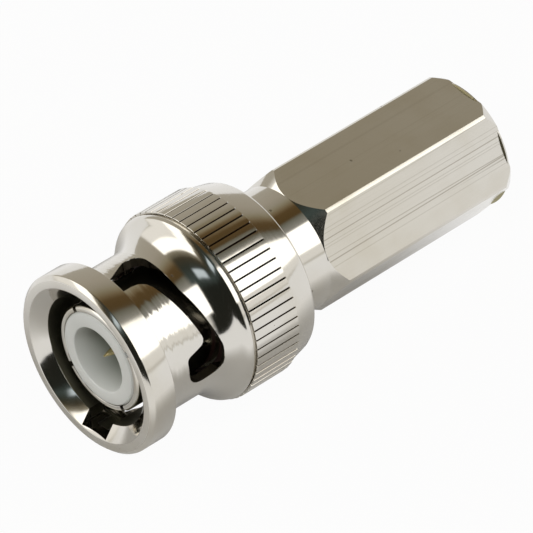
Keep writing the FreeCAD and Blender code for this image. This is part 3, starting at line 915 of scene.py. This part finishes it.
pin = {
    "tip": 1.6, "tipRadius": 0.06, "tipFlat": 0.03, "tipFront": 0.01, "tipLength": 0.05,
    "radius": 0.675, "noseEnd": 3.8, "noseRounding": 0.6, "floor": 7.97, "rootRadius": 0.875,
    "collarStart": 9.97, "collarRadius": 1.075, "tailStart": 13.2, "tailRadius": 0.8, "tailEnd": 17.0,
    "socketRadius": 0.45, "socketDepth": 3.5,
    "slitWidth": 0.25, "slitLength": 2.5, "slitPast": 1, "slitReach": 2,
}


def centrePin():
    p = pin
    profile = [
        (p["tip"], 0),
        (p["tip"] + p["tipFront"], p["tipRadius"] - p["tipFlat"]),
        (p["tip"] + p["tipLength"], p["tipRadius"]),
        (p["noseEnd"], p["radius"], p["noseRounding"]),
        (p["floor"], p["radius"]),
        (p["floor"], p["rootRadius"]),
        (p["collarStart"], p["rootRadius"]),
        (p["collarStart"], p["collarRadius"]),
        (p["tailStart"], p["collarRadius"]),
        (p["tailStart"], p["tailRadius"]),
        (p["tailEnd"], p["tailRadius"], 0.05),
        (p["tailEnd"], p["socketRadius"], 0.05),
        (p["tailEnd"] - p["socketDepth"], p["socketRadius"]),
        (p["tailEnd"] - p["socketDepth"], 0),
    ]
    piece = turned("centrePin", profile, pinSteps)
    half, reach = p["slitWidth"] / 2, p["slitReach"]
    cut(piece, block("socketSlitCutter", (p["tailEnd"] - p["slitLength"], -half, -reach),
                     (p["tailEnd"] + p["slitPast"], half, reach)))
    finish(piece, "plug_body", plainFinish("paleGold"), "centre_pin")


# Wave washers, the springs between the outer contact's flange and the slip washer

spring = {
    "inner": 4.27, "outer": 4.83, "thickness": 0.2, "rounding": 0.03, "swing": 0.4, "waves": 3, "columns": 72,
    "frontStart": 10.225, "rearStart": 11.25, "frontCrest": 0, "rearCrest": 60, "seat": 10.2, "keep": 0.27,
}


def waveWasher(name, start, crest, replaced, material):
    s = spring
    flat = start + s["swing"]
    back = flat + s["thickness"]
    profile = [(*corner, s["rounding"]) for corner in
               ((flat, s["inner"]), (flat, s["outer"]), (back, s["outer"]), (back, s["inner"]))]
    piece = turned(name, profile, s["columns"])
    pitch = 360 / s["columns"]
    pick(piece)
    for k in range(s["columns"]):
        here = pitch * k
        choose(piece, lambda place: abs((angleOf(place) - here + 180) % 360 - 180) < pitch / 4)
        rise = s["swing"] * math.cos(math.radians(s["waves"] * (here - crest)))
        bpy.ops.transform.translate(value=(rise * mm, 0, 0))
    bpy.ops.object.mode_set(mode="OBJECT")
    finish(piece, "plug_body", material, replaced)
    # the springs flatten as the nut is pushed forward
    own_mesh(piece)


def dressHiddenParts():
    for nodeName, finishName in (("rear_insulator", "beadPlastic"), ("gasket", "shadedSealRubber"),
                                 ("slip_washer", "washerSteel")):
        cadNode, material = bpy.data.objects[nodeName], plainFinish(finishName)
        if not cadNode.material_slots:
            cadNode.data.materials.append(material)
        for materialSlot in cadNode.material_slots:
            materialSlot.material = material
    print("dressed the hidden parts")


couplingNut()
hexBody()
outerContact()
frontInsulator()
centrePin()
springSteel = plainFinish("springSteel")
waveWasher("frontWaveWasher", spring["frontStart"], spring["frontCrest"], "wave_washer_front", springSteel)
waveWasher("rearWaveWasher", spring["rearStart"], spring["rearCrest"], "wave_washer_rear", springSteel)
dressHiddenParts()


# Camera, light and floor

view = {
    "place": (-0.1783, -0.1809, 0.2465), "ahead": (0.508, 0.5185, -0.688), "up": (0.444, 0.527, 0.725),
    "lens": 337.7, "sensor": 36, "near": 0.01, "far": 10,
}


def camera():
    data = bpy.data.cameras.new("camera")
    data.sensor_width, data.lens = view["sensor"], view["lens"]
    data.clip_start, data.clip_end = view["near"], view["far"]
    made = bpy.data.objects.new("camera", data)
    bpy.context.collection.objects.link(made)
    ahead = Vector(view["ahead"]).normalized()
    right = ahead.cross(Vector(view["up"])).normalized()
    up = right.cross(ahead)
    turn = Matrix((right, up, -ahead)).transposed().to_4x4()
    made.matrix_world = Matrix.Translation(view["place"]) @ turn
    bpy.context.scene.camera = made
    print("placed the camera")


# Studio light as bands round the plug's axis. A band is an angle from overhead, positive on the
# viewer's side, and a linear colour
studio = {
    "rearBands": [
        (-90, (0.50, 0.47, 0.40)), (-50, (0.44, 0.40, 0.33)), (-37, (0.375, 0.34, 0.27)),
        (-31, (0.32, 0.285, 0.20)), (-22, (0.21, 0.155, 0.085)), (-16, (0.12, 0.075, 0.03)),
        (-1, (0.10, 0.062, 0.022)), (4, (0.18, 0.18, 0.145)), (17, (0.34, 0.33, 0.30)),
        (60, (0.97, 0.95, 0.91)), (75, (0.97, 0.95, 0.91)), (78, (0.58, 0.56, 0.50)),
        (81, (1.02, 1.02, 1.01)),
    ],
    "frontBands": [
        (-90, (0.50, 0.48, 0.42)), (-75, (0.38, 0.36, 0.30)), (-36, (0.28, 0.25, 0.18)),
        (-24, (0.06, 0.05, 0.03)), (-8, (0.04, 0.045, 0.035)), (12, (0.06, 0.08, 0.075)),
        (30, (0.018, 0.02, 0.016)), (90, (0.02, 0.02, 0.016)),
    ],
    "frontEnd": -0.30, "rearStart": 0.0,
    # each box: low and high angle, low and high reach along X, softness of its sides, colour, strength
    "boxes": {
        "key": (19, 61, -0.40, 0.96, 3, (1.0, 0.985, 0.94), 2.0),
        "wall": (-92, -62, -0.92, -0.10, 6, (1.0, 0.98, 0.94), 1.1),
        "fill": (-66, -39, -0.92, -0.10, 4, (1.0, 0.98, 0.93), 1.9),
        "window": (-3, 13, -0.90, -0.60, 4, (0.80, 0.92, 1.0), 0.9),
    },
    "lampFrom": (-0.55, -0.2, 0.8), "lampDistance": 0.3, "lampSize": 0.12, "lampPower": 0.28,
}


def worldLight():
    world = bpy.data.worlds.new("studio")
    bpy.context.scene.world = world
    world.use_nodes = True
    tree = world.node_tree
    direction = addNode(tree, "ShaderNodeSeparateXYZ")
    tree.links.new(addNode(tree, "ShaderNodeTexCoord").outputs["Generated"], direction.inputs[0])
    x, y, z = direction.outputs
    turn = mathNode(tree, "ARCTAN2", times(tree, y, -1.0), z)
    angle = times(tree, turn, 180 / math.pi)
    share = added(tree, angle, 1 / 360, 0.5)
    bands = [ramp(tree, share, [(0.5 + place / 360, colour) for place, colour in studio[side]])
             for side in ("frontBands", "rearBands")]
    colour = mixColour(tree, smoothRange(tree, x, studio["frontEnd"], studio["rearStart"]), *bands)
    for low, high, front, rear, soft, tint, strength in studio["boxes"].values():
        # 57 degrees of angle are about as wide as 1 along X
        mask = times(tree, band(tree, angle, low, high, soft), band(tree, x, front, rear, soft / 57))
        colour = mixColour(tree, mask, colour, tuple(part * strength for part in tint))
    background = tree.nodes["Background"]
    tree.links.new(colour, background.inputs["Color"])
    background.inputs["Strength"].default_value = 1
    print("lit the studio")


def softLamp():
    # a large soft lamp over the mouth for the plastic and the paper; the metal mirrors the studio alone
    data = bpy.data.lights.new("softLamp", "AREA")
    data.shape, data.size, data.energy = "DISK", studio["lampSize"], studio["lampPower"]
    made = bpy.data.objects.new("softLamp", data)
    bpy.context.collection.objects.link(made)
    aim = Vector(studio["lampFrom"]).normalized()
    made.location = Vector((mouthX, 0, axisZ)) + aim * studio["lampDistance"]
    made.rotation_mode = "QUATERNION"
    made.rotation_quaternion = aim.to_track_quat("Z", "Y")
    made.visible_glossy = False


# White paper, tilted as the plug rests on its knurl and on the end of its hexagon
paper = {
    "colour": (0.50, 0.495, 0.49), "roughness": 0.9, "shine": 0.1, "size": 3.0, "slope": 6.2, "touch": -4.6,
    "shadeCentre": (-9, 0, 0), "shadeNear": 14, "shadeFar": 30,
    "nearShare": 0.1, "farShare": 1.0, "cameraShare": 0.96,
}


def floor():
    clearSelection()
    bpy.ops.mesh.primitive_plane_add(size=paper["size"])
    made = bpy.context.active_object
    made.name = "paperFloor"
    made.rotation_euler = (0, -math.radians(paper["slope"]), 0)
    made.location = (paper["touch"] * mm, 0, 0)
    bpy.ops.object.transform_apply()
    material, tree, shader = newMaterial("whitePaper")
    feed(tree, shader.inputs["Base Color"], paper["colour"])
    shader.inputs["Roughness"].default_value = paper["roughness"]
    shader.inputs["Specular IOR Level"].default_value = paper["shine"]
    glow = addNode(tree, "ShaderNodeEmission")
    feed(tree, glow.inputs["Color"], (1, 1, 1))
    glow.inputs["Strength"].default_value = 1
    path = addNode(tree, "ShaderNodeLightPath")
    # metal sees the paper white from afar and shaded close under the nut
    centre = tuple(value * mm for value in paper["shadeCentre"])
    distance = vectorNode(tree, "DISTANCE", objectPlace(tree), centre).outputs["Value"]
    far = smoothRange(tree, distance, paper["shadeNear"] * mm, paper["shadeFar"] * mm)
    mirrored = added(tree, far, paper["farShare"] - paper["nearShare"], paper["nearShare"])
    seen = times(tree, path.outputs["Is Camera Ray"], paper["cameraShare"])
    for ray in ("Is Glossy Ray", "Is Transmission Ray"):
        seen = largest(tree, seen, times(tree, path.outputs[ray], mirrored))
    mix = addNode(tree, "ShaderNodeMixShader")
    for socket, value in zip(mix.inputs, (seen, shader.outputs[0], glow.outputs[0])):
        tree.links.new(value, socket)
    tree.links.new(mix.outputs[0], tree.nodes["Material Output"].inputs["Surface"])
    made.data.materials.append(material)
    print("laid the paper floor")


floor()
softLamp()
camera()
worldLight()
bpy.context.scene.view_settings.view_transform = "Standard"
